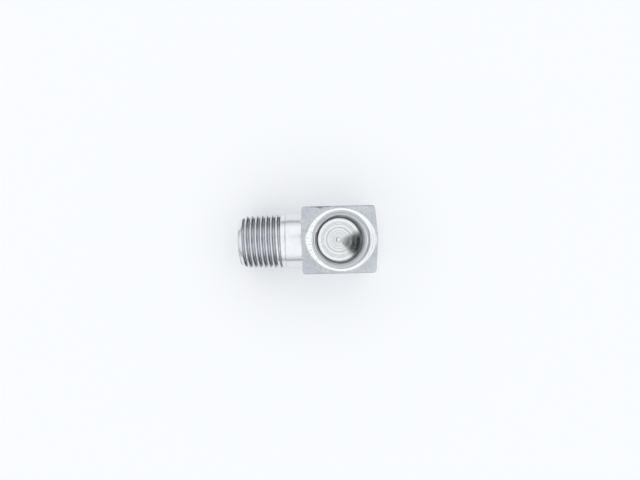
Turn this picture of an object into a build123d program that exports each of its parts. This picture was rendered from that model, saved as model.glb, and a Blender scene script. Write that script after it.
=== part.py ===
from build123d import *
from math import radians, tan
import os

# A one-piece 90 degree threaded elbow for a grease or oil line. A forged block is turned down to
# a neck and a male taper-thread end on -X, faced and bored for a female thread on +Z, and drilled
# through from one to the other. The two axes cross at the origin. Sizes are in millimetres.
# The threads are left off: the male end and the port wall are plain where the threads are cut.

# Threads: both are the nominal 1/8 taper pipe thread, 28 to the inch
thread_gauge_diameter = 9.728
tapping_allowance = 1.528    # gauge diameter less the port's tapping drill
mouth_allowance = 0.432      # countersink's outer edge over the gauge diameter

# Turned male end, from the shoulder outwards
neck_length = 2.85
neck_step = 0.1              # neck over the run-out land, on the radius
neck_root_radius = 0.2       # inside corner between the neck and the shoulder
runout_length = 0.88         # plain land where the thread runs out
runout_step = 0.086          # run-out land over the gauge diameter, on the radius
thread_length = 7.59         # run-out land to the end face
lead_chamfer_length = 1.3
lead_chamfer_angle = 27.0    # measured from the male axis

countersink_angle = 90.0     # included, at the port's mouth and at the passage's

# Passage from the male end face into the port
passage_diameter = 4.6
passage_chamfer = 0.25       # broken edge at the end face

# Female port
drill_overrun = 0.2          # drill's shoulder below the wall of the passage
drill_point_angle = 118.0    # included
web_diameter = 1.1           # dimple that the drill's thinned web leaves
web_angle = 150.0            # included
facing_angle = 27.0          # rise of the dished facing around the mouth
facing_depth = 0.57          # parting ridge down to the mouth's outer edge

# Forged block
shoulder_step = 0.85         # flat cheek and base beyond the neck
shoulder_rim = 0.6           # shoulder beyond the port's facing
back_rim = 0.2               # back ridge beyond the port's facing
draft_angle = 4.0            # forging draft, falling away from the parting plane y = 0
heel_radius = 1.6            # outer corner of the bend
lip_radius = 0.2             # corner between the port face and the back face
upright_radius = 0.6         # upright corners of the block
cheek_edge_radius = 0.35     # long edges along the port face and the base

# Radii and stations that follow, from the thread outwards
gauge_radius = thread_gauge_diameter / 2
runout_radius = gauge_radius + runout_step
neck_radius = runout_radius + neck_step
end_face_radius = gauge_radius - lead_chamfer_length * tan(radians(lead_chamfer_angle))
passage_radius = passage_diameter / 2

half_width = neck_radius + shoulder_step
port_face_z = half_width
base_z = -half_width
draft_fall = half_width * tan(radians(draft_angle))

drill_radius = (thread_gauge_diameter - tapping_allowance) / 2
web_radius = web_diameter / 2
mouth_radius = (thread_gauge_diameter + mouth_allowance) / 2
facing_radius = mouth_radius + facing_depth / tan(radians(facing_angle))
mouth_z = port_face_z - facing_depth
countersink_z = mouth_z - (mouth_radius - drill_radius) / tan(radians(countersink_angle / 2))
drill_shoulder_z = -passage_radius - drill_overrun
web_z = drill_shoulder_z - (drill_radius - web_radius) / tan(radians(drill_point_angle / 2))
tip_z = web_z - web_radius / tan(radians(web_angle / 2))

back_x = facing_radius + back_rim
shoulder_x = -facing_radius - shoulder_rim
neck_end_x = shoulder_x - neck_length
runout_end_x = neck_end_x - runout_length
male_end_x = runout_end_x - thread_length
chamfer_x = male_end_x + lead_chamfer_length

with BuildPart() as elbow_body:
    # Forged block, seen from above: the back face falls away from the parting ridge
    with BuildSketch(Plane.XY.offset(base_z)) as plan:
        with BuildLine():
            Polyline(
                (shoulder_x, -half_width),
                (back_x - draft_fall, -half_width),
                (back_x, 0),
                (back_x - draft_fall, half_width),
                (shoulder_x, half_width),
                close=True,
            )
        make_face()
        cheek_ends = plan.vertices().group_by(Axis.Y)
        fillet(cheek_ends[0] + cheek_ends[-1], radius=upright_radius)
    extrude(amount=port_face_z - base_z)

    # The same block seen along the male axis: the port face falls away from its ridge
    with BuildSketch(Plane.YZ.offset(shoulder_x)) as end_view:
        with BuildLine():
            Polyline(
                (-half_width, base_z),
                (half_width, base_z),
                (half_width, port_face_z - draft_fall),
                (0, port_face_z),
                (-half_width, port_face_z - draft_fall),
                close=True,
            )
        make_face()
        cheek_ends = end_view.vertices().group_by(Axis.X)
        fillet(cheek_ends[0] + cheek_ends[-1], radius=cheek_edge_radius)
    extrude(amount=back_x - shoulder_x, mode=Mode.INTERSECT)

    # And seen across the bend: a square shoulder, a rounded heel and a crisp lip
    with BuildSketch(Plane.XZ) as bend_view:
        with Locations((shoulder_x, base_z)):
            Rectangle(back_x - shoulder_x, port_face_z - base_z, align=(Align.MIN, Align.MIN))
        fillet(bend_view.vertices().group_by(Axis.X)[-1].sort_by(Axis.Y)[0], radius=heel_radius)
        fillet(bend_view.vertices().group_by(Axis.Y)[-1].sort_by(Axis.X)[-1], radius=lip_radius)
    extrude(amount=half_width, both=True, mode=Mode.INTERSECT)

    # Turned end: neck, run-out land, thread blank and lead chamfer
    with BuildSketch(Plane.XZ) as turned_profile:
        with BuildLine():
            Polyline(
                (shoulder_x, 0),
                (shoulder_x, neck_radius),
                (neck_end_x, neck_radius),
                (neck_end_x, runout_radius),
                (runout_end_x, runout_radius),
                (runout_end_x, gauge_radius),
                (chamfer_x, gauge_radius),
                (male_end_x, end_face_radius),
                (male_end_x, 0),
                close=True,
            )
        make_face()
    revolve(axis=Axis.X)
    shoulder_face = elbow_body.faces().filter_by(Axis.X).sort_by(Axis.X)[-1]
    neck_root = shoulder_face.edges().filter_by(GeomType.CIRCLE).sort_by(SortBy.RADIUS)[-1]
    fillet(neck_root, radius=neck_root_radius)

    # Female port: dished facing, thread countersink, tapping drill and its point
    with BuildSketch(Plane.XZ) as port_profile:
        with BuildLine():
            Polyline(
                (0, tip_z),
                (web_radius, web_z),
                (drill_radius, drill_shoulder_z),
                (drill_radius, countersink_z),
                (mouth_radius, mouth_z),
                (facing_radius, port_face_z),
                (0, port_face_z),
                close=True,
            )
        make_face()
    revolve(axis=Axis.Z, mode=Mode.SUBTRACT)

    # Passage, drilled from the male end face as far as the port's axis
    with Locations(Plane(origin=(male_end_x, 0, 0), z_dir=(-1, 0, 0))):
        CounterSinkHole(
            radius=passage_radius,
            counter_sink_radius=passage_radius + passage_chamfer,
            depth=-male_end_x,
            counter_sink_angle=countersink_angle,
        )

elbow_body.part.label = "elbow_body"

os.makedirs("parts", exist_ok=True)
export_step(elbow_body.part, "parts/elbow_body.step")
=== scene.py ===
# %% [markdown]
# # A threaded elbow
# This fitting turns a grease or oil line through a right angle. The real one starts as a forged
# steel block. A lathe turns one end to a neck and a taper thread, a second set-up faces, drills
# and taps the port on top, and the whole is plated. The lesson makes it in that same order, so
# every edge falls where a tool would leave it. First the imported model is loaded: it fixes the
# size and the place that the finished piece has to keep.

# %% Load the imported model
import math
import random

import bmesh
import bpy
from mathutils import Matrix, Vector


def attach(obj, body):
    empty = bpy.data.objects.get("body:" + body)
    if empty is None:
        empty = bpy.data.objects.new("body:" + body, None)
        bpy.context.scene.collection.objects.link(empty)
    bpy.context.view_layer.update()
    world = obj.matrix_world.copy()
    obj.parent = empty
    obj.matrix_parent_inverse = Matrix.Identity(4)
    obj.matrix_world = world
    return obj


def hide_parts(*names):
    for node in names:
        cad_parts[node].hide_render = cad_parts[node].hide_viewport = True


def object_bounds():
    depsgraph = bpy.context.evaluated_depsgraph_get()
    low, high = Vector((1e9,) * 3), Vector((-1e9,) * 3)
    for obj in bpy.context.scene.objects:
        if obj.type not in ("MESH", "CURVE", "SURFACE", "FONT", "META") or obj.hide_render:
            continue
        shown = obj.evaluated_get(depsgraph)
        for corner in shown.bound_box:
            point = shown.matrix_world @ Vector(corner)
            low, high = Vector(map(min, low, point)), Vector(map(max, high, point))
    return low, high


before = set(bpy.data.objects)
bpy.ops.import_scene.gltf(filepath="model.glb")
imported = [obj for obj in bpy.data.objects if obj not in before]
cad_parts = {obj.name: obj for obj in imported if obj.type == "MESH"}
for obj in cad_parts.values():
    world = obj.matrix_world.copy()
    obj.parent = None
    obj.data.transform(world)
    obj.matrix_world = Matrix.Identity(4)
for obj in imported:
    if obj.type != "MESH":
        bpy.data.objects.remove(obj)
cad_low, cad_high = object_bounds()
print("CAD box in mm:", [round(v * 1000, 2) for v in (*cad_low, *cad_high)])

# %% [markdown]
# ## Sizes
# All Blender lengths are metres, so a factor turns the shop's millimetres into them. The overall
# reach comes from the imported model. What a maker would find on the drawing is named here once:
# the pipe thread, the angles of the tools, and the widths between them.

# %% Sizes from the frame and from the drawing
MM = 0.001
male_end_x, base_z = cad_low.x, cad_low.z
back_x, half_width, port_face_z = cad_high

inch = 25.4 * MM
threads_per_inch = 28
pitch = inch / threads_per_inch
taper = 1 / 32                       # change of radius along a 1 in 16 pipe taper
thread_depth = 0.50 * MM
crest_flat = 0.07 * MM
flank_slope = math.tan(math.radians(27.5))

shoulder_x = -6.799 * MM
neck_length = 2.85 * MM
runout_length = 0.88 * MM
neck_end_x = shoulder_x - neck_length
runout_end_x = neck_end_x - runout_length
runout_radius = 4.95 * MM
neck_radius = runout_radius + 0.1 * MM
neck_root_radius = 0.2 * MM
chamfer_length = 1.3 * MM
end_face_radius = 4.15 * MM

passage_radius = 2.3 * MM
passage_chamfer = 0.25 * MM

drill_radius = 4.1 * MM
drill_overrun = 0.2 * MM             # drill's shoulder below the wall of the passage
drill_shoulder_z = -passage_radius - drill_overrun
drill_slope = 1 / math.tan(math.radians(59))
web_radius = 0.55 * MM
web_core_radius = 0.36 * MM
web_side_slope = math.tan(math.radians(38))
web_core_slope = math.tan(math.radians(12))
ream_radius = drill_radius + 0.18 * MM       # bore at the mouth, opened 1 in 16 for the tap
mouth_radius = 5.08 * MM
facing_depth = 0.57 * MM
mouth_z = port_face_z - facing_depth
facing_slope = math.tan(math.radians(27))

draft_slope = math.tan(math.radians(4))
draft_fall = half_width * draft_slope
heel_radius = 1.6 * MM
lip_radius = 0.2 * MM
upright_radius = 0.6 * MM
cheek_edge_radius = 0.35 * MM
print("thread pitch %.3f mm, shoulder at %.2f mm" % (pitch / MM, shoulder_x / MM))

# %% [markdown]
# ## The camera
# The view looks straight down on the port from a hand's width above the bench, close enough for
# the near face to look larger than what lies under it. The camera comes first, because how large
# a thread is in the picture decides how fine its mesh has to be.

# %% Camera
picture_width_px = 640
focal_length_px = 481
askew = math.radians(-1.4)           # the fitting lies a little askew under the camera
camera_data = bpy.data.cameras.new("camera")
camera_data.sensor_width = 36
camera_data.lens = camera_data.sensor_width * focal_length_px / picture_width_px
camera_data.clip_start = 5 * MM
camera = bpy.data.objects.new("camera", camera_data)
camera.location = (-3.65 * MM, 0.02 * MM, 88.7 * MM)
camera.rotation_euler = (0, 0, askew)
bpy.context.scene.collection.objects.link(camera)
bpy.context.scene.camera = camera
bpy.context.scene.view_settings.view_transform = "Standard"
print("lens %.2f mm" % camera_data.lens)

# %% [markdown]
# ## Finishes
# Plating lies over everything, but what is under it differs. The forged skin is rough and
# mottled, the turned neck is bright with fine tool lines round it, and the drill left rings on
# the port's floor. All of them use the same few effects, so those are node groups, built once.
# Positions reach the groups in millimetres, which keeps every size in them easy to read.

# %% Node helpers
def new_node(tree, kind, **settings):
    node = tree.nodes.new(kind)
    for name, value in settings.items():
        setattr(node, name, value)
    return node


def feed(tree, socket, source):
    """Sets a socket to a plain value, or links another node's output to it."""
    if isinstance(source, bpy.types.NodeSocket):
        tree.links.new(source, socket)
    else:
        socket.default_value = source


def calculate(tree, operation, *sources):
    node = new_node(tree, "ShaderNodeMath", operation=operation)
    for socket, source in zip(node.inputs, sources):
        feed(tree, socket, source)
    return node.outputs[0]


def ramp(tree, value, start, end, low=0.0, high=1.0, kind="SMOOTHSTEP"):
    """Low where the value is at start, high where it is at end, and in between a ramp."""
    node = new_node(tree, "ShaderNodeMapRange", interpolation_type=kind)
    for label, source in (("Value", value), ("From Min", start), ("From Max", end),
                          ("To Min", low), ("To Max", high)):
        feed(tree, node.inputs[label], source)
    return node.outputs[0]


def effect_group(name, inputs, outputs):
    """An empty shader group with its sockets; returns the tree, its inputs and its outputs."""
    tree = bpy.data.node_groups.new(name, "ShaderNodeTree")
    for kind, sockets in (("INPUT", inputs), ("OUTPUT", outputs)):
        for label, socket_type in sockets:
            tree.interface.new_socket(label, in_out=kind, socket_type="NodeSocket" + socket_type)
    entry = new_node(tree, "NodeGroupInput")
    leave = new_node(tree, "NodeGroupOutput")
    return tree, entry.outputs, leave.inputs


def place_group(tree, group, **sources):
    node = new_node(tree, "ShaderNodeGroup", node_tree=group)
    for label, source in sources.items():
        feed(tree, node.inputs[label.replace("_", " ")], source)
    return node.outputs


# %% Lathe coordinates: station along the axis, radius and angle about it
lathe_group, given, result = effect_group(
    "lathe_coordinates",
    [("Across", "Float"), ("Up", "Float"), ("Along", "Float")],
    [("Station", "Float"), ("Radius", "Float"), ("Angle", "Float")],
)
across_squared = calculate(lathe_group, "MULTIPLY", given["Across"], given["Across"])
up_squared = calculate(lathe_group, "MULTIPLY", given["Up"], given["Up"])
radius_squared = calculate(lathe_group, "ADD", across_squared, up_squared)
feed(lathe_group, result["Radius"], calculate(lathe_group, "SQRT", radius_squared))
feed(lathe_group, result["Angle"], calculate(lathe_group, "ARCTAN2", given["Up"], given["Across"]))
feed(lathe_group, result["Station"], given["Along"])

# %% Tool lines: uneven grooves, one value all the way round
line_group, given, result = effect_group(
    "tool_lines",
    [("Feed", "Float"), ("Spacing", "Float")],
    [("Height", "Float")],
)
line_position = calculate(line_group, "DIVIDE", given["Feed"], given["Spacing"])
line_noise = new_node(line_group, "ShaderNodeTexNoise", noise_dimensions="1D")
line_noise.inputs["Scale"].default_value = 1
line_noise.inputs["Detail"].default_value = 3
feed(line_group, line_noise.inputs["W"], line_position)
feed(line_group, result["Height"], line_noise.outputs["Fac"])

# %% Mottle: soft blotches with a finer grain over them, around 1
mottle_group, given, result = effect_group(
    "plating_mottle",
    [("Position", "Vector"), ("Blotch Size", "Float"), ("Blotch Depth", "Float"),
     ("Grain Size", "Float"), ("Grain Depth", "Float")],
    [("Shade", "Float"), ("Height", "Float")],
)


def noise_about_zero(tree, position, size, detail):
    noise = new_node(tree, "ShaderNodeTexNoise", noise_dimensions="3D")
    feed(tree, noise.inputs["Vector"], position)
    feed(tree, noise.inputs["Scale"], calculate(tree, "DIVIDE", 1.0, size))
    noise.inputs["Detail"].default_value = detail
    return calculate(tree, "SUBTRACT", noise.outputs["Fac"], 0.5)


blotch = noise_about_zero(mottle_group, given["Position"], given["Blotch Size"], 3)
grain = noise_about_zero(mottle_group, given["Position"], given["Grain Size"], 2)
blotch_part = calculate(mottle_group, "MULTIPLY", blotch, given["Blotch Depth"])
grain_part = calculate(mottle_group, "MULTIPLY", grain, given["Grain Depth"])
shade = calculate(mottle_group, "ADD", blotch_part, grain_part)
feed(mottle_group, result["Shade"], calculate(mottle_group, "ADD", shade, 1.0))
feed(mottle_group, result["Height"], calculate(mottle_group, "ADD", grain, blotch))

# %% Groove share: 0 on a thread's crest, 1 at its root; it places the painted shade in the grooves
groove_group, given, result = effect_group(
    "groove_depth_share",
    [("Radius", "Float"), ("Station", "Float"), ("Crest at Zero", "Float"),
     ("Taper", "Float"), ("Depth", "Float")],
    [("Groove Share", "Float")],
)
crest_drift = calculate(groove_group, "MULTIPLY", given["Station"], given["Taper"])
crest_radius = calculate(groove_group, "ADD", given["Crest at Zero"], crest_drift)
below_crest = calculate(groove_group, "SUBTRACT", crest_radius, given["Radius"])
groove_share = calculate(groove_group, "DIVIDE", below_crest, given["Depth"])
groove_clamp = new_node(groove_group, "ShaderNodeClamp")
feed(groove_group, groove_clamp.inputs["Value"], groove_share)
feed(groove_group, result["Groove Share"], groove_clamp.outputs[0])
print("effects:", [group.name for group in bpy.data.node_groups])


# %% A plated steel, ready for its own effects
def start_metal(name, roughness):
    """Returns the material's tree, its Principled shader and the position in millimetres."""
    material = bpy.data.materials.new(name)
    material.use_nodes = True
    tree = material.node_tree
    shader = tree.nodes["Principled BSDF"]
    shader.inputs["Metallic"].default_value = 1
    shader.inputs["Roughness"].default_value = roughness
    here = new_node(tree, "ShaderNodeTexCoord")
    scale = new_node(tree, "ShaderNodeMapping")
    scale.inputs["Scale"].default_value = (1 / MM, 1 / MM, 1 / MM)
    feed(tree, scale.inputs["Vector"], here.outputs["Object"])
    return material, tree, shader, scale.outputs["Vector"]


def tint(tree, shader, colour, shade):
    """The plating's colour, made lighter or darker by a shade around 1."""
    mix = new_node(tree, "ShaderNodeVectorMath", operation="SCALE")
    mix.inputs[0].default_value = colour
    feed(tree, mix.inputs["Scale"], shade)
    feed(tree, shader.inputs["Base Color"], mix.outputs[0])


def relief(tree, shader, height, depth):
    bump = new_node(tree, "ShaderNodeBump")
    bump.inputs["Distance"].default_value = depth
    feed(tree, bump.inputs["Height"], height)
    feed(tree, shader.inputs["Normal"], bump.outputs["Normal"])


def about_male_axis(tree, position):
    split = new_node(tree, "ShaderNodeSeparateXYZ")
    feed(tree, split.inputs[0], position)
    x, y, z = split.outputs
    return place_group(tree, lathe_group, Across=y, Up=z, Along=x)


def about_port_axis(tree, position):
    split = new_node(tree, "ShaderNodeSeparateXYZ")
    feed(tree, split.inputs[0], position)
    x, y, z = split.outputs
    return place_group(tree, lathe_group, Across=x, Up=y, Along=z)


# %% [markdown]
# The forged skin was blasted clean before it was plated. It scatters light, so it looks grey
# where turned metal looks white. Blotches a millimetre or so wide and a grain like fine sand
# carry both its colour and its relief.

# %% Forged skin
forged_skin, tree, shader, position = start_metal("forged_skin", roughness=0.45)
mottle = place_group(tree, mottle_group, Position=position, Blotch_Size=2.2, Blotch_Depth=0.5,
                     Grain_Size=0.35, Grain_Depth=0.55)
tint(tree, shader, (0.55, 0.58, 0.61), mottle["Shade"])
relief(tree, shader, mottle["Height"], depth=0.035 * MM)

# %% [markdown]
# Turned metal keeps the marks of the tool's feed: fine lines that run round the axis and change
# only along it. A one-dimensional noise of the station gives exactly that. Sizes given to the
# effects are in millimetres.

# %% Turned neck and end
turned_steel, tree, shader, position = start_metal("turned_steel", roughness=0.24)
lathe = about_male_axis(tree, position)
lines = place_group(tree, line_group, Feed=lathe["Station"], Spacing=0.12)
mottle = place_group(tree, mottle_group, Position=position, Blotch_Size=1.2, Blotch_Depth=0.12,
                     Grain_Size=0.2, Grain_Depth=0.08)
tint(tree, shader, (0.82, 0.84, 0.86), mottle["Shade"])
relief(tree, shader, lines["Height"], depth=0.004 * MM)


# %% [markdown]
# The grooves between a thread's crests are painted darker: a trace of oil and dust, and mostly
# painted shade of the recess.
# The painted shade is deepest low down and fades towards the top, as light from above leaves it,
# so one ramp follows the depth of the groove and another the height above the bench.

# %% Threads: bright crests, grooves darkened by painted shade
def thread_metal(name, about_axis, crest_at_zero, depth, full_shade_z, faint_shade_z):
    """Painted shade fills the groove fully at the lower height given and thins out up to the upper
    one.
    """
    material, tree, shader, position = start_metal(name, roughness=0.3)
    lathe = about_axis(tree, position)
    in_groove = place_group(tree, groove_group, Radius=lathe["Radius"], Station=lathe["Station"],
                       Crest_at_Zero=crest_at_zero, Taper=taper, Depth=depth)
    mottle = place_group(tree, mottle_group, Position=position, Blotch_Size=0.9,
                         Blotch_Depth=0.3, Grain_Size=0.18, Grain_Depth=0.15)
    # Painted shade in the grooves, with a little dirt: darker between the crests.
    below_crest = ramp(tree, in_groove["Groove Share"], 0.1, 0.4)
    height = new_node(tree, "ShaderNodeSeparateXYZ")
    feed(tree, height.inputs[0], position)
    # Painted shade: darker low down and lighter towards the top, as light from above falls.
    shade_by_height = ramp(tree, height.outputs["Z"], full_shade_z, faint_shade_z, low=0.75, high=0.12, kind="LINEAR")
    darker = calculate(tree, "MULTIPLY", below_crest, shade_by_height)
    unshaded_share = calculate(tree, "SUBTRACT", 1.0, darker)
    tint(tree, shader, (0.66, 0.68, 0.71), calculate(tree, "MULTIPLY", unshaded_share, mottle["Shade"]))
    relief(tree, shader, mottle["Height"], depth=0.01 * MM)
    return material


crest_at_origin = (runout_radius - runout_end_x * taper) / MM
male_thread_metal = thread_metal(
    "male_thread_metal", about_male_axis, crest_at_zero=crest_at_origin,
    depth=thread_depth / MM, full_shade_z=2.0, faint_shade_z=4.4)
female_crest_at_origin = (ream_radius - mouth_z * taper) / MM
female_thread_metal = thread_metal(
    "female_thread_metal", about_port_axis, crest_at_zero=female_crest_at_origin,
    depth=-thread_depth / MM, full_shade_z=0.8, faint_shade_z=4.1)
print("crest radius carried back to the origin: male %.3f mm, female %.3f mm"
      % (crest_at_origin, female_crest_at_origin))

# %% [markdown]
# The port is faced with a dished cutter that chatters: short marks stand across the bright rim
# on the side next to the neck. Noise of the angle about the port gives strokes that point at its
# axis, and a mottle breaks them up. The drill's rings on the floor run round it instead.

# %% Faced rim of the port
chatter_free_x, chatter_full_x = -3.5, -4.8          # in millimetres, towards the neck
faced_rim, tree, shader, position = start_metal("faced_rim", roughness=0.2)
lathe = about_port_axis(tree, position)
lines = place_group(tree, line_group, Feed=lathe["Radius"], Spacing=0.2)
chatter = place_group(tree, line_group, Feed=lathe["Angle"], Spacing=0.05)
strokes = ramp(tree, chatter["Height"], 0.45, 0.7)
split = new_node(tree, "ShaderNodeSeparateXYZ")
feed(tree, split.inputs[0], position)
near_neck = ramp(tree, split.outputs["X"], chatter_free_x, chatter_full_x, kind="LINEAR")
mottle = place_group(tree, mottle_group, Position=position, Blotch_Size=0.4, Blotch_Depth=1.0,
                     Grain_Size=0.2, Grain_Depth=0.4)
breaks = ramp(tree, mottle["Shade"], 0.95, 1.15)
chatter_strength = calculate(tree, "MULTIPLY", near_neck, breaks)
chatter_marks = calculate(tree, "MULTIPLY", strokes, chatter_strength)
chatter_depth = 0.45
chatter_shade = calculate(
    tree, "SUBTRACT", 1.0, calculate(tree, "MULTIPLY", chatter_marks, chatter_depth))
tint(tree, shader, (0.89, 0.90, 0.915), chatter_shade)
relief(tree, shader, lines["Height"], depth=0.012 * MM)

# %% Drilled floor
drilled_steel, tree, shader, position = start_metal("drilled_steel", roughness=0.17)
lathe = about_port_axis(tree, position)
lines = place_group(tree, line_group, Feed=lathe["Radius"], Spacing=0.16)
mottle = place_group(tree, mottle_group, Position=position, Blotch_Size=1.0, Blotch_Depth=0.1,
                     Grain_Size=0.15, Grain_Depth=0.1)
tint(tree, shader, (0.82, 0.83, 0.84), mottle["Shade"])
relief(tree, shader, lines["Height"], depth=0.006 * MM)

# %% Countersunk mouth
countersunk_steel, tree, shader, position = start_metal("countersunk_steel", roughness=0.3)
lathe = about_port_axis(tree, position)
lines = place_group(tree, line_group, Feed=lathe["Radius"], Spacing=0.12)
tint(tree, shader, (0.8, 0.82, 0.85), calculate(tree, "ADD", lines["Height"], 0.5))
relief(tree, shader, lines["Height"], depth=0.02 * MM)

# %% Bored walls: painted shade, a near-black colour for walls that see only each other
bore_painted_shade, tree, shader, position = start_metal("bore_painted_shade", roughness=0.28)
lathe = about_port_axis(tree, position)
lines = place_group(tree, line_group, Feed=lathe["Station"], Spacing=0.1)
# Painted shade: the walls' colour is near black, not the plating's, to stand in for the shade deep
# in the bore.
tint(tree, shader, (0.14, 0.145, 0.15), 1.0)
relief(tree, shader, lines["Height"], depth=0.005 * MM)
print("finishes:", [material.name for material in bpy.data.materials])

# %% [markdown]
# ## Helpers for the workshop
# Two kinds of solid make nearly everything here: a prism, which is an outline pushed straight
# along an axis, and a turned solid, which is a profile spun about one. `rounded` gives an outline
# its corner radii as arcs. `machine` then cuts, joins or trims with Blender's exact boolean, and
# lets each new surface keep the material of the tool that made it, so a bored wall can have
# another finish than the forged face around it.

# %% Directions: each turns (across, up, along) into a point
def along_x(across, up, along):
    return Vector((along, across, up))


def along_y(across, up, along):
    return Vector((across, along, up))


def along_z(across, up, along):
    return Vector((across, up, along))


# %% Outlines with round corners
def rounded(corners, steps=6):
    """Corners are (across, up, radius); a radius of 0 leaves the corner sharp."""
    points = []
    for index, (across, up, radius) in enumerate(corners):
        here = Vector((across, up))
        if radius == 0:
            points.append(here)
            continue
        to_before = (Vector(corners[index - 1][:2]) - here).normalized()
        to_after = (Vector(corners[(index + 1) % len(corners)][:2]) - here).normalized()
        half = to_before.angle(to_after) / 2
        centre = here + (to_before + to_after).normalized() * radius / math.sin(half)
        first = here + to_before * radius / math.tan(half) - centre
        last = here + to_after * radius / math.tan(half) - centre
        for step in range(steps + 1):
            points.append(centre + first.slerp(last, step / steps) * radius)
    return points


# %% From a bmesh to a piece in the scene
same_spot = 1e-8                     # metres: points closer than this are one point


def new_piece(bm, name, materials):
    bmesh.ops.remove_doubles(bm, verts=bm.verts, dist=same_spot)
    bmesh.ops.recalc_face_normals(bm, faces=bm.faces)
    mesh = bpy.data.meshes.new(name)
    bm.to_mesh(mesh)
    bm.free()
    for material in materials:
        mesh.materials.append(material)
    piece = bpy.data.objects.new(name, mesh)
    bpy.context.scene.collection.objects.link(piece)
    return piece


# %% Prisms and turned solids
def prism(name, outline, direction, low, high, material):
    bm = bmesh.new()
    bottom = [bm.verts.new(direction(*point, low)) for point in outline]
    top = [bm.verts.new(direction(*point, high)) for point in outline]
    bm.faces.new(bottom)
    bm.faces.new(top)
    for index in range(len(outline)):
        bm.faces.new((bottom[index - 1], bottom[index], top[index], top[index - 1]))
    return new_piece(bm, name, [material])


def turned(name, profile, direction, segments=192):
    """profile is (station, radius, finish): the finish is of the band that ends there."""
    bm = bmesh.new()
    rings = []
    for station, radius, _ in profile:
        turns = [2 * math.pi * step / segments for step in range(segments)]
        rings.append([
            bm.verts.new(direction(radius * math.cos(turn), radius * math.sin(turn), station))
            for turn in turns
        ])
    materials = list(dict.fromkeys(finish for _, _, finish in profile))
    for near, far, (_, _, finish) in zip(rings, rings[1:], profile[1:]):
        for index in range(segments):
            band = bm.faces.new((near[index - 1], near[index], far[index], far[index - 1]))
            band.material_index = materials.index(finish)
    for ring, (_, radius, finish) in ((rings[0], profile[0]), (rings[-1], profile[-1])):
        if radius > 0:
            bm.faces.new(ring).material_index = materials.index(finish)
    return new_piece(bm, name, materials)


# %% Booleans that keep the tool's finish
def settle(piece):
    """Puts what the modifiers make into the piece's own mesh, and removes them."""
    depsgraph = bpy.context.evaluated_depsgraph_get()
    mesh = bpy.data.meshes.new_from_object(piece.evaluated_get(depsgraph))
    piece.modifiers.clear()
    piece.data = mesh


def machine(work, tool, operation):
    step = work.modifiers.new(tool.name, "BOOLEAN")
    step.object = tool
    step.operation = operation
    step.solver = "EXACT"
    step.material_mode = "TRANSFER"
    settle(work)
    print("%-10s %-14s leaves %6d faces" % (operation.lower(), tool.name, len(work.data.polygons)))
    bpy.data.objects.remove(tool)


# %% [markdown]
# ## The forging
# A drop forging is pressed between two dies that part along the plane of both axes. Faces that
# cross that plane fall away from it by a few degrees, so that the block leaves the die, and meet
# in a faint ridge. Such a block is three silhouettes at once: from above, along the male axis and
# across the bend. Three prisms that are trimmed by each other give it, ridges and all.

# %% The three silhouettes
from_above = rounded([
    (shoulder_x, -half_width, upright_radius),
    (back_x - draft_fall, -half_width, upright_radius),
    (back_x, 0, 0),
    (back_x - draft_fall, half_width, upright_radius),
    (shoulder_x, half_width, upright_radius),
])
along_male = rounded([
    (-half_width, base_z, cheek_edge_radius),
    (half_width, base_z, cheek_edge_radius),
    (half_width, port_face_z - draft_fall, cheek_edge_radius),
    (0, port_face_z, 0),
    (-half_width, port_face_z - draft_fall, cheek_edge_radius),
])
across_bend = rounded([
    (shoulder_x, base_z, 0),
    (back_x, base_z, heel_radius),
    (back_x, port_face_z, lip_radius),
    (shoulder_x, port_face_z, 0),
])
print("corner points:", len(from_above), len(along_male), len(across_bend))

# %% Forged block
beyond = 1 * MM                      # how far a tool reaches past the metal that it cuts
forged_edge_break = 0.16 * MM
least_edge_turn = math.radians(40)   # edges that turn less, like the die's ridges, stay
elbow = prism("elbow", from_above, along_z, base_z - beyond, port_face_z + beyond, forged_skin)
machine(elbow, prism("end_view", along_male, along_x, shoulder_x - beyond, back_x + beyond,
                     forged_skin), "INTERSECT")
machine(elbow, prism("bend_view", across_bend, along_y, -half_width - beyond,
                     half_width + beyond, forged_skin), "INTERSECT")
soften = elbow.modifiers.new("soften", "BEVEL")
soften.width = forged_edge_break
soften.segments = 3
soften.limit_method = "ANGLE"
soften.angle_limit = least_edge_turn
settle(elbow)
print("the edges' break brings the block to %d faces" % len(elbow.data.polygons))

# %% [markdown]
# ## The turned end
# The neck, the land where the thread runs out, the tapered blank and the lead chamfer are one
# profile. The blank narrows by 1 in 16 on the diameter, as a pipe thread does. A narrow groove
# parts the land from the neck.

# %% Neck and tapered blank
root_arc = [
    (shoulder_x - neck_root_radius * (1 - math.sin(turn)),
     neck_radius + neck_root_radius * (1 - math.cos(turn)))
    for turn in map(math.radians, range(90, -1, -18))
]
chamfer_x = male_end_x + chamfer_length
edge_break = 0.04 * MM
parting_depth = 0.12 * MM
parting_width = 0.24 * MM


def crest_radius_at(x):
    return runout_radius - (runout_end_x - x) * taper


turned_profile = [
    (shoulder_x + beyond, neck_radius + neck_root_radius),
    *root_arc,
    (neck_end_x + edge_break, neck_radius),
    (neck_end_x, neck_radius - edge_break),
    (neck_end_x - parting_width / 2, runout_radius - parting_depth),
    (neck_end_x - parting_width, runout_radius),
    (runout_end_x, runout_radius),
    (chamfer_x, crest_radius_at(chamfer_x)),
    (male_end_x + edge_break, end_face_radius),
    (male_end_x, end_face_radius - edge_break),
]
blank = turned("blank", [(*point, turned_steel) for point in turned_profile], along_x)
print("crest radius at the chamfer %.3f mm" % (crest_radius_at(chamfer_x) / MM))

# %% [markdown]
# ## The threads
# A thread is one tooth shape carried along a helix, which is a rule, so Geometry Nodes follow it.
# The tree draws a conical spiral, lifts its start clear of the metal so that the groove runs out
# gently, and sweeps the tooth along it. The result is a cutting tool. One tree serves both
# threads, because only the sizes change and which way the tooth points.

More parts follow.
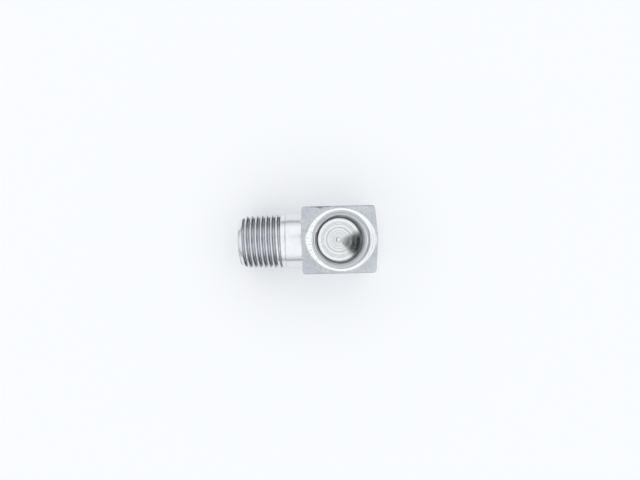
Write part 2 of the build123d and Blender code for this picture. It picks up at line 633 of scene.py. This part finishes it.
# %% The tree's sockets
cutter_tree = bpy.data.node_groups.new("helical_cutter", "GeometryNodeTree")
cutter_sockets = (
    ("Tooth", "Object"), ("Pitch", "Float"), ("Turns", "Float"), ("Steps per Turn", "Int"),
    ("Start Radius", "Float"), ("Radius per Length", "Float"), ("Lift", "Float"),
    ("Lift Turns", "Float"), ("Material", "Material"),
)
cutter_socket = {
    label: cutter_tree.interface.new_socket(
        label, in_out="INPUT", socket_type="NodeSocket" + kind).identifier
    for label, kind in cutter_sockets
}
cutter_tree.interface.new_socket("Cutter", in_out="OUTPUT", socket_type="NodeSocketGeometry")
given = new_node(cutter_tree, "NodeGroupInput").outputs

# %% A conical, right-hand spiral
helix_length = calculate(cutter_tree, "MULTIPLY", given["Pitch"], given["Turns"])
radius_change = calculate(cutter_tree, "MULTIPLY", helix_length, given["Radius per Length"])
end_radius = calculate(cutter_tree, "ADD", given["Start Radius"], radius_change)
spiral = new_node(cutter_tree, "GeometryNodeCurveSpiral")
for label, source in (
    ("Resolution", given["Steps per Turn"]), ("Rotations", given["Turns"]),
    ("Start Radius", given["Start Radius"]), ("End Radius", end_radius),
    ("Height", helix_length), ("Reverse", True),
):
    feed(cutter_tree, spiral.inputs[label], source)

# %% Its start lifted along the radius, less and less over the first turns
lift_share = calculate(cutter_tree, "DIVIDE", given["Lift Turns"], given["Turns"])
along_spiral = new_node(cutter_tree, "GeometryNodeSplineParameter")
lift = ramp(cutter_tree, along_spiral.outputs["Factor"], 0.0, lift_share,
            low=given["Lift"], high=0.0)
spot = new_node(cutter_tree, "GeometryNodeInputPosition")
flattened = new_node(cutter_tree, "ShaderNodeVectorMath", operation="MULTIPLY")
feed(cutter_tree, flattened.inputs[0], spot.outputs[0])
flattened.inputs[1].default_value = (1, 1, 0)
outward = new_node(cutter_tree, "ShaderNodeVectorMath", operation="NORMALIZE")
feed(cutter_tree, outward.inputs[0], flattened.outputs[0])
offset = new_node(cutter_tree, "ShaderNodeVectorMath", operation="SCALE")
feed(cutter_tree, offset.inputs[0], outward.outputs[0])
feed(cutter_tree, offset.inputs["Scale"], lift)
lifted = new_node(cutter_tree, "GeometryNodeSetPosition")
feed(cutter_tree, lifted.inputs["Geometry"], spiral.outputs[0])
feed(cutter_tree, lifted.inputs["Offset"], offset.outputs[0])

# %% The tooth swept along it, upright all the way
upright = new_node(cutter_tree, "GeometryNodeSetCurveNormal", mode="Z_UP")
feed(cutter_tree, upright.inputs["Curve"], lifted.outputs[0])
tooth = new_node(cutter_tree, "GeometryNodeObjectInfo")
feed(cutter_tree, tooth.inputs["Object"], given["Tooth"])
sweep = new_node(cutter_tree, "GeometryNodeCurveToMesh")
feed(cutter_tree, sweep.inputs["Curve"], upright.outputs[0])
feed(cutter_tree, sweep.inputs["Profile Curve"], tooth.outputs["Geometry"])
sweep.inputs["Fill Caps"].default_value = True
realized = new_node(cutter_tree, "GeometryNodeRealizeInstances")
feed(cutter_tree, realized.inputs[0], sweep.outputs[0])
painted = new_node(cutter_tree, "GeometryNodeSetMaterial")
feed(cutter_tree, painted.inputs["Geometry"], realized.outputs[0])
feed(cutter_tree, painted.inputs["Material"], given["Material"])
leave = new_node(cutter_tree, "NodeGroupOutput")
feed(cutter_tree, leave.inputs[0], painted.outputs[0])
print("helical_cutter has %d nodes" % len(cutter_tree.nodes))

# %% The tooth's outline: a 55 degree vee with a round tip and flared shoulders
groove_half_width = (pitch - crest_flat) / 2
shoulders = [(0.018 * MM, 0.045 * MM), (0.06 * MM, 0.09 * MM)]     # depth, step in from the edge
flank_depth, flank_step = shoulders[-1]
tip_half_width = groove_half_width - flank_step - (thread_depth - flank_depth) * flank_slope
tip_radius = 0.09 * MM
clearance = 0.25 * MM                # how far the tooth reaches back out of the metal
print("groove %.3f mm wide at the surface, %.3f mm at its root"
      % (2 * groove_half_width / MM, 2 * tip_half_width / MM))


def tooth_curve(name, pointing):
    """pointing is 1 for a tooth that points away from the axis, -1 for one towards it."""
    upper_side = [(-clearance, groove_half_width, 0), (0, groove_half_width, 0)]
    upper_side += [(depth, groove_half_width - step, 0) for depth, step in shoulders]
    upper_side += [(thread_depth, tip_half_width, tip_radius)]
    lower_side = [(depth, -width, radius) for depth, width, radius in upper_side]
    outline = rounded(lower_side + upper_side[::-1], steps=3)
    curve = bpy.data.curves.new(name, "CURVE")
    spline = curve.splines.new("POLY")
    spline.points.add(len(outline) - 1)
    for point, (depth, width) in zip(spline.points, outline):
        point.co = (pointing * depth, width, 0, 1)
    spline.use_cyclic_u = True
    tooth_object = bpy.data.objects.new(name, curve)
    bpy.context.scene.collection.objects.link(tooth_object)
    return tooth_object


# %% Run the tree and put the cutter in its place
def helical_cutter(name, pointing, placement, **sizes):
    tooth_object = tooth_curve(name + "_tooth", pointing)
    cutter = new_piece(bmesh.new(), name, [])
    sweep_step = cutter.modifiers.new("sweep", "NODES")
    sweep_step.node_group = cutter_tree
    sweep_step[cutter_socket["Tooth"]] = tooth_object
    for label, value in sizes.items():
        sweep_step[cutter_socket[label.replace("_", " ")]] = value
    settle(cutter)
    cutter.data.transform(placement)
    bm = bmesh.new()
    bm.from_mesh(cutter.data)
    bmesh.ops.recalc_face_normals(bm, faces=bm.faces)
    bm.to_mesh(cutter.data)
    bm.free()
    bpy.data.objects.remove(tooth_object)
    print("%s: %d faces" % (name, len(cutter.data.polygons)))
    return cutter


# %% [markdown]
# Cutting the male thread comes before the blank joins the block, while it is still a simple
# turned shape. The groove begins where the land ends and runs off the chamfered end. In its
# first turn the cutter is lowered into the metal from just above it.

# %% Cut the male thread and join the end to the block
cutter_steps = 96                    # straight stretches in a turn of the helix
lift_clear = thread_depth + 0.03 * MM
male_phase = math.radians(45)
male_start = 0.3 * pitch             # how far inside the land's end the helix begins
male_turns = (runout_end_x - male_end_x) / pitch + 1
out_of_the_block = Matrix(((0, 0, -1, 0), (1, 0, 0, 0), (0, -1, 0, 0), (0, 0, 0, 1)))
male_placement = (Matrix.Translation((runout_end_x + male_start, 0, 0)) @ out_of_the_block
                  @ Matrix.Rotation(male_phase, 4, "Z"))
male_cutter = helical_cutter(
    "male_cutter", pointing=-1, placement=male_placement, Pitch=pitch, Turns=male_turns,
    Steps_per_Turn=cutter_steps, Start_Radius=runout_radius + male_start * taper,
    Radius_per_Length=-taper, Lift=lift_clear, Lift_Turns=1.0, Material=male_thread_metal)
machine(blank, male_cutter, "DIFFERENCE")
machine(elbow, blank, "UNION")

# %% [markdown]
# ## The port
# Facing, countersink, tapping drill and its point turn about one axis, so they are one tool here.
# A drill that rubs leaves uneven rings on the floor: shallow treads with short risers between,
# steeper towards the wall. Its thinned web leaves a dimple in the middle.

# %% The drill's rings on the floor, from the web outwards
drill_finish = random.Random(3)
narrowest_tread, widest_tread = 0.16 * MM, 0.5 * MM
narrowest_riser, widest_riser = 0.02 * MM, 0.08 * MM
last_tread = 0.6 * MM                # a tread that begins closer to the wall runs up to it
steepest_tread = math.radians(18)


def floor_z(radius):
    return drill_shoulder_z - (drill_radius - radius) * drill_slope


tread_starts = [web_radius]
while tread_starts[-1] < drill_radius - last_tread:
    tread_starts.append(tread_starts[-1] + drill_finish.uniform(narrowest_tread, widest_tread))
web_core_z = floor_z(web_radius) - (web_radius - web_core_radius) * web_side_slope
floor_profile = [
    (web_core_z - web_core_radius * web_core_slope, 0, drilled_steel),
    (web_core_z, web_core_radius, drilled_steel),
]
for inner, outer in zip(tread_starts, tread_starts[1:] + [drill_radius]):
    tread_end = outer - drill_finish.uniform(narrowest_riser, widest_riser)
    tread_slope = math.tan(steepest_tread * (1 + outer / drill_radius) / 2)
    floor_profile += [
        (floor_z(inner), inner, drilled_steel),
        (floor_z(inner) + (tread_end - inner) * tread_slope, tread_end, drilled_steel),
    ]
print("%d rings on the port's floor" % len(tread_starts))

# %% [markdown]
# Above the floor the wall opens slightly upwards, to lead the taper tap. Two narrow steps in the
# countersink catch the light as bright rings, and the dished facing runs out through the top.

# %% Bore the port
mouth_steps = ((0.44, 0.5), (0.44, 0.4), (0.24, 0.22), (0.2, 0.1), (0, 0))    # down and in, mm
ream_z = mouth_z - (mouth_radius - ream_radius)
above_face_z = port_face_z + beyond
port_profile = [
    *floor_profile,
    (drill_shoulder_z, drill_radius, drilled_steel),
    (ream_z - (ream_radius - drill_radius) / taper, drill_radius, bore_painted_shade),
    (ream_z, ream_radius, bore_painted_shade),
    *((mouth_z - down * MM, mouth_radius - inward * MM, countersunk_steel)
      for down, inward in mouth_steps),
    (above_face_z, mouth_radius + (above_face_z - mouth_z) / facing_slope, faced_rim),
]
machine(elbow, turned("port_tool", port_profile, along_z, segments=256), "DIFFERENCE")

# %% Drill the passage from the male end as far as the port's axis
passage_profile = [
    (male_end_x - beyond, passage_radius + passage_chamfer + beyond, bore_painted_shade),
    (male_end_x + passage_chamfer, passage_radius, turned_steel),
    (0, passage_radius, bore_painted_shade),
]
machine(elbow, turned("passage_tool", passage_profile, along_x, segments=96), "DIFFERENCE")

# %% Tap the port
tap_depth = 7.0 * MM
tap_turns = (tap_depth + pitch) / pitch
tap_placement = Matrix.Translation((0, 0, mouth_z - tap_depth))
tap = helical_cutter(
    "tap", pointing=1, placement=tap_placement, Pitch=pitch, Turns=tap_turns,
    Steps_per_Turn=cutter_steps, Start_Radius=ream_radius - tap_depth * taper,
    Radius_per_Length=taper, Lift=-lift_clear, Lift_Turns=1.0, Material=female_thread_metal)
machine(elbow, tap, "DIFFERENCE")

# %% [markdown]
# ## Handling marks
# One long edge of the block carries a shallow nick from a knock. A blade with an uneven edge,
# cut in along it, leaves the nick. Its stations and reaches are listed one by one, because a knock
# follows no rule.

# %% Nick in the edge of the port face
nick_painted_shade, tree, shader, position = start_metal("nick_painted_shade", roughness=0.5)
# Painted shade: the nick's faces are near black, darker than the plating, so the shallow recess
# reads dark.
shader.inputs["Base Color"].default_value = (0.26, 0.27, 0.29, 1)
nick_reach = (                       # station along the edge and reach into the face, in mm
    (-5.4, 0.0), (-5.1, 0.2), (-4.7, 0.16), (-4.3, 0.25), (-3.95, 0.26), (-3.75, 0.46),
    (-3.5, 0.38), (-3.35, 0.48), (-3.15, 0.26), (-2.7, 0.19), (-2.3, 0.25), (-1.8, 0.16),
    (-1.3, 0.0),
)
nick_outline = [Vector((x * MM, half_width - reach * MM)) for x, reach in nick_reach]
nick_outline += [Vector((x * MM, half_width + beyond)) for x, _ in (nick_reach[-1], nick_reach[0])]
nick_depth = 0.12 * MM
nick_z = port_face_z - draft_fall - nick_depth
nick = prism("nick", nick_outline, along_z, nick_z, nick_z + beyond, nick_painted_shade)
machine(elbow, nick, "DIFFERENCE")

# %% [markdown]
# Smooth shading makes the facets of a round face read as one surface. The port's dish meets the
# face round it at 27 degrees and more and has to stay crisp there, so the limit lies just below.

# %% Shading: flat faces stay flat, round ones read as round
sharp_angle = math.radians(24)
for face in elbow.data.polygons:
    face.use_smooth = True
elbow.data.set_sharp_from_angle(angle=sharp_angle)
weigh = elbow.modifiers.new("weigh", "WEIGHTED_NORMAL")
weigh.keep_sharp = True
settle(elbow)
print("shaded %d faces" % len(elbow.data.polygons))

# %% [markdown]
# ## The table and the light
# A pale table lies at the height of the block's base. The light is one soft dome, brighter
# overhead and dimmer towards the horizon, as a shooting tent gives it. Turned metal needs that
# dim band: without something darker to reflect it would look like plaster. A black card above the
# neck stands in for the dark mouth of the passage, which the shallow rings on the port's floor
# don't mirror by themselves. It is what puts the dark fan on that floor.

# %% Table
table_size = 600 * MM
bm = bmesh.new()
bmesh.ops.create_grid(bm, x_segments=1, y_segments=1, size=table_size / 2)
table_paint = bpy.data.materials.new("table_paint")
table_paint.use_nodes = True
tree = table_paint.node_tree
shader = tree.nodes["Principled BSDF"]
shader.inputs["Base Color"].default_value = (0.69, 0.70, 0.715, 1)
shader.inputs["Roughness"].default_value = 0.9
shader.inputs["Specular IOR Level"].default_value = 0.1
table = new_piece(bm, "table", [table_paint])
table.data.transform(Matrix.Translation((0, 0, base_z)))

# %% A paler table for the eye and for reflections
table_glow = 0.29
ray = new_node(tree, "ShaderNodeLightPath")
seen = calculate(tree, "MAXIMUM", ray.outputs["Is Camera Ray"], ray.outputs["Is Glossy Ray"])
shader.inputs["Emission Color"].default_value = (0.97, 0.985, 1, 1)
feed(tree, shader.inputs["Emission Strength"], calculate(tree, "MULTIPLY", seen, table_glow))
print("table at z = %.2f mm" % (base_z / MM))

# %% Dome of light
dome_levels = ((0.09, 0.2), (0.15, 0.72), (0.34, 0.8), (0.46, 1.0))   # height on the dome, level
world = bpy.data.worlds.new("dome")
bpy.context.scene.world = world
world.use_nodes = True
sky = world.node_tree
background = sky.nodes["Background"]
direction = new_node(sky, "ShaderNodeTexCoord")
split = new_node(sky, "ShaderNodeSeparateXYZ")
feed(sky, split.inputs[0], direction.outputs["Generated"])
dome = new_node(sky, "ShaderNodeValToRGB")
feed(sky, dome.inputs[0], split.outputs["Z"])
for height, level in dome_levels:
    stop = dome.color_ramp.elements.new(height)
    stop.color = (level, level, level, 1)
for ready_made in (0, -1):
    dome.color_ramp.elements.remove(dome.color_ramp.elements[ready_made])
print("dome levels:", dome_levels)

# %% A black card above the neck, with soft edges
def cosine(degrees):
    return math.cos(math.radians(degrees))


level_direction = new_node(sky, "ShaderNodeVectorMath", operation="MULTIPLY")
feed(sky, level_direction.inputs[0], direction.outputs["Generated"])
level_direction.inputs[1].default_value = (1, 1, 0)
bearing = new_node(sky, "ShaderNodeVectorMath", operation="NORMALIZE")
feed(sky, bearing.inputs[0], level_direction.outputs[0])
toward_card = new_node(sky, "ShaderNodeVectorMath", operation="DOT_PRODUCT")
feed(sky, toward_card.inputs[0], bearing.outputs[0])
card_bearing = math.radians(165)
toward_card.inputs[1].default_value = (math.cos(card_bearing), math.sin(card_bearing), 0)
card_sides = ramp(sky, toward_card.outputs["Value"], cosine(48), cosine(25))
card_top = ramp(sky, split.outputs["Z"], cosine(18), cosine(24))      # angles from the zenith
card_foot = ramp(sky, split.outputs["Z"], cosine(44), cosine(40))
card = calculate(sky, "MULTIPLY", card_sides, calculate(sky, "MULTIPLY", card_top, card_foot))
print("card bearing %.0f degrees" % math.degrees(card_bearing))

# %% White for the eye, the dome for everything else
dome_strength = 1.12
backdrop_white = 0.97
ray = new_node(sky, "ShaderNodeLightPath")
overhead = calculate(sky, "MULTIPLY", dome.outputs[0], dome_strength)
lit = calculate(sky, "MULTIPLY", overhead, calculate(sky, "SUBTRACT", 1.0, card))
backdrop = new_node(sky, "ShaderNodeMix", data_type="FLOAT")
feed(sky, backdrop.inputs["Factor"], ray.outputs["Is Camera Ray"])
feed(sky, backdrop.inputs["A"], lit)
feed(sky, backdrop.inputs["B"], backdrop_white)
background.inputs["Color"].default_value = (0.98, 0.99, 1, 1)
feed(sky, background.inputs["Strength"], backdrop.outputs["Result"])
print("world:", bpy.context.scene.world.name)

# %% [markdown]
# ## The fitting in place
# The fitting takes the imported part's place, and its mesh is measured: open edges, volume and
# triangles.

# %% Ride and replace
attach(elbow, "root")
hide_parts("elbow_body")

# %% Measure and finish
bm = bmesh.new()
bm.from_mesh(elbow.data)
open_edges = sum(1 for edge in bm.edges if len(edge.link_faces) != 2)
volume = bm.calc_volume()
triangles = sum(len(face.verts) - 2 for face in bm.faces)
bm.free()
print("open edges %d, volume %.0f cubic mm, %d triangles"
      % (open_edges, volume / MM ** 3, triangles))
